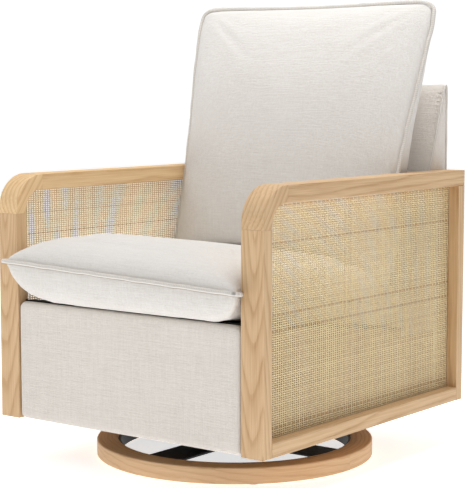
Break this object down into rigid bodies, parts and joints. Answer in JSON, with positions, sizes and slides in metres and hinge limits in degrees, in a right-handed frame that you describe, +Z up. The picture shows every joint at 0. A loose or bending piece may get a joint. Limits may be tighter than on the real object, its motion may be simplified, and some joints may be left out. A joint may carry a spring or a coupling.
{
  "type": "glider nursery chair",
  "caption": "Armchair with wooden arms, woven cane side panels and loose cushions, which glides on hanging links and swivels on a ring base.",
  "frame": {"origin": "on the floor, on the axis of the swivel, at the bottom centre of the bounding box", "axes": "+Z up, -Y toward the front of the seat, +X toward the right arm seen from the front of the box (the arm on the sitter's left)"},
  "size_m": [0.72, 0.8444, 1.0146],
  "materials": {
    "ash_wood": "clear satin lacquer on pale open-grained wood",
    "frame_wood": "bare sawn softwood",
    "woven_cane": "open plain weave of natural cane strips",
    "upholstery": "off-white linen-look plain weave over padding",
    "cushion_cover": "off-white linen-look plain weave with a flat seam flange",
    "deck_cloth": "black spunbond cloth",
    "felt": "grey pressed felt",
    "black_steel": "black powder coat",
    "zinc_steel": "bright zinc plate",
    "spring_steel": "oiled spring wire",
    "bumper_rubber": "matt black rubber"
  },
  "bodies": {
    "base": {"base_ring": "ash_wood", "base_hoop": "black_steel", "base_cross": "black_steel", "foot_pad_1": "felt", "foot_pad_2": "felt", "foot_pad_3": "felt", "foot_pad_4": "felt", "bearing_plate": "black_steel", "bearing_race": "zinc_steel", "king_bolt": "zinc_steel"},
    "cradle": {"swivel_plate": "black_steel", "cradle_plate": "black_steel", "front_cradle_frame": "black_steel", "front_pivot_rod": "zinc_steel", "front_stop_bumper": "bumper_rubber", "rear_cradle_frame": "black_steel", "rear_pivot_rod": "zinc_steel", "rear_stop_bumper": "bumper_rubber"},
    "front_right_link_body": {"front_right_link": "black_steel"},
    "front_left_link_body": {"front_left_link": "black_steel"},
    "rear_right_link_body": {"rear_right_link": "black_steel"},
    "rear_left_link_body": {"rear_left_link": "black_steel"},
    "seat_carriage": {"right_arm_front_post": "ash_wood", "right_arm_corner_block": "ash_wood", "right_arm_top_rail": "ash_wood", "right_arm_rear_post": "ash_wood", "right_arm_bottom_rail": "ash_wood", "right_cane_panel": "woven_cane", "right_arm_bolt_front": "zinc_steel", "right_arm_bolt_rear": "zinc_steel", "right_side_panel": "frame_wood", "left_arm_front_post": "ash_wood", "left_arm_corner_block": "ash_wood", "left_arm_top_rail": "ash_wood", "left_arm_rear_post": "ash_wood", "left_arm_bottom_rail": "ash_wood", "left_cane_panel": "woven_cane", "left_arm_bolt_front": "zinc_steel", "left_arm_bolt_rear": "zinc_steel", "left_side_panel": "frame_wood", "front_top_rail": "frame_wood", "rear_top_rail": "frame_wood", "front_cross_rail": "frame_wood", "rear_cross_rail": "frame_wood", "rear_bottom_rail": "frame_wood", "front_panel": "upholstery", "seat_deck": "deck_cloth", "seat_spring_1": "spring_steel", "seat_spring_2": "spring_steel", "seat_spring_3": "spring_steel", "seat_spring_4": "spring_steel", "back_frame": "upholstery", "outside_back_panel": "upholstery", "seat_cushion": "cushion_cover", "back_cushion": "cushion_cover", "right_carriage_rail": "black_steel", "left_carriage_rail": "black_steel"}
  },
  "joints": [
    {"name": "swivel", "type": "hinge", "parent": "base", "child": "cradle", "pos_m": [0, 0, 0.045], "axis": [0, 0, 1], "continuous": true},
    {"name": "glide", "type": "hinge", "parent": "cradle", "child": "rear_left_link_body", "pos_m": [-0.227, 0.11, 0.25], "axis": [1, 0, 0], "range_deg": [-22, 22]},
    {"name": "seat_level", "type": "hinge", "parent": "rear_left_link_body", "child": "seat_carriage", "pos_m": [-0.227, 0.11, 0.125], "axis": [1, 0, 0], "range_deg": [-22, 22]},
    {"name": "rear_right_swing", "type": "hinge", "parent": "cradle", "child": "rear_right_link_body", "pos_m": [0.227, 0.11, 0.25], "axis": [1, 0, 0], "range_deg": [-22, 22]},
    {"name": "front_left_swing", "type": "hinge", "parent": "cradle", "child": "front_left_link_body", "pos_m": [-0.227, -0.11, 0.25], "axis": [1, 0, 0], "range_deg": [-22, 22]},
    {"name": "front_right_swing", "type": "hinge", "parent": "cradle", "child": "front_right_link_body", "pos_m": [0.227, -0.11, 0.25], "axis": [1, 0, 0], "range_deg": [-22, 22]}
  ],
  "couplings": [
    {"joint": "seat_level", "follows": "glide", "ratio": -1},
    {"joint": "rear_right_swing", "follows": "glide", "ratio": 1},
    {"joint": "front_left_swing", "follows": "glide", "ratio": 1},
    {"joint": "front_right_swing", "follows": "glide", "ratio": 1}
  ]
}
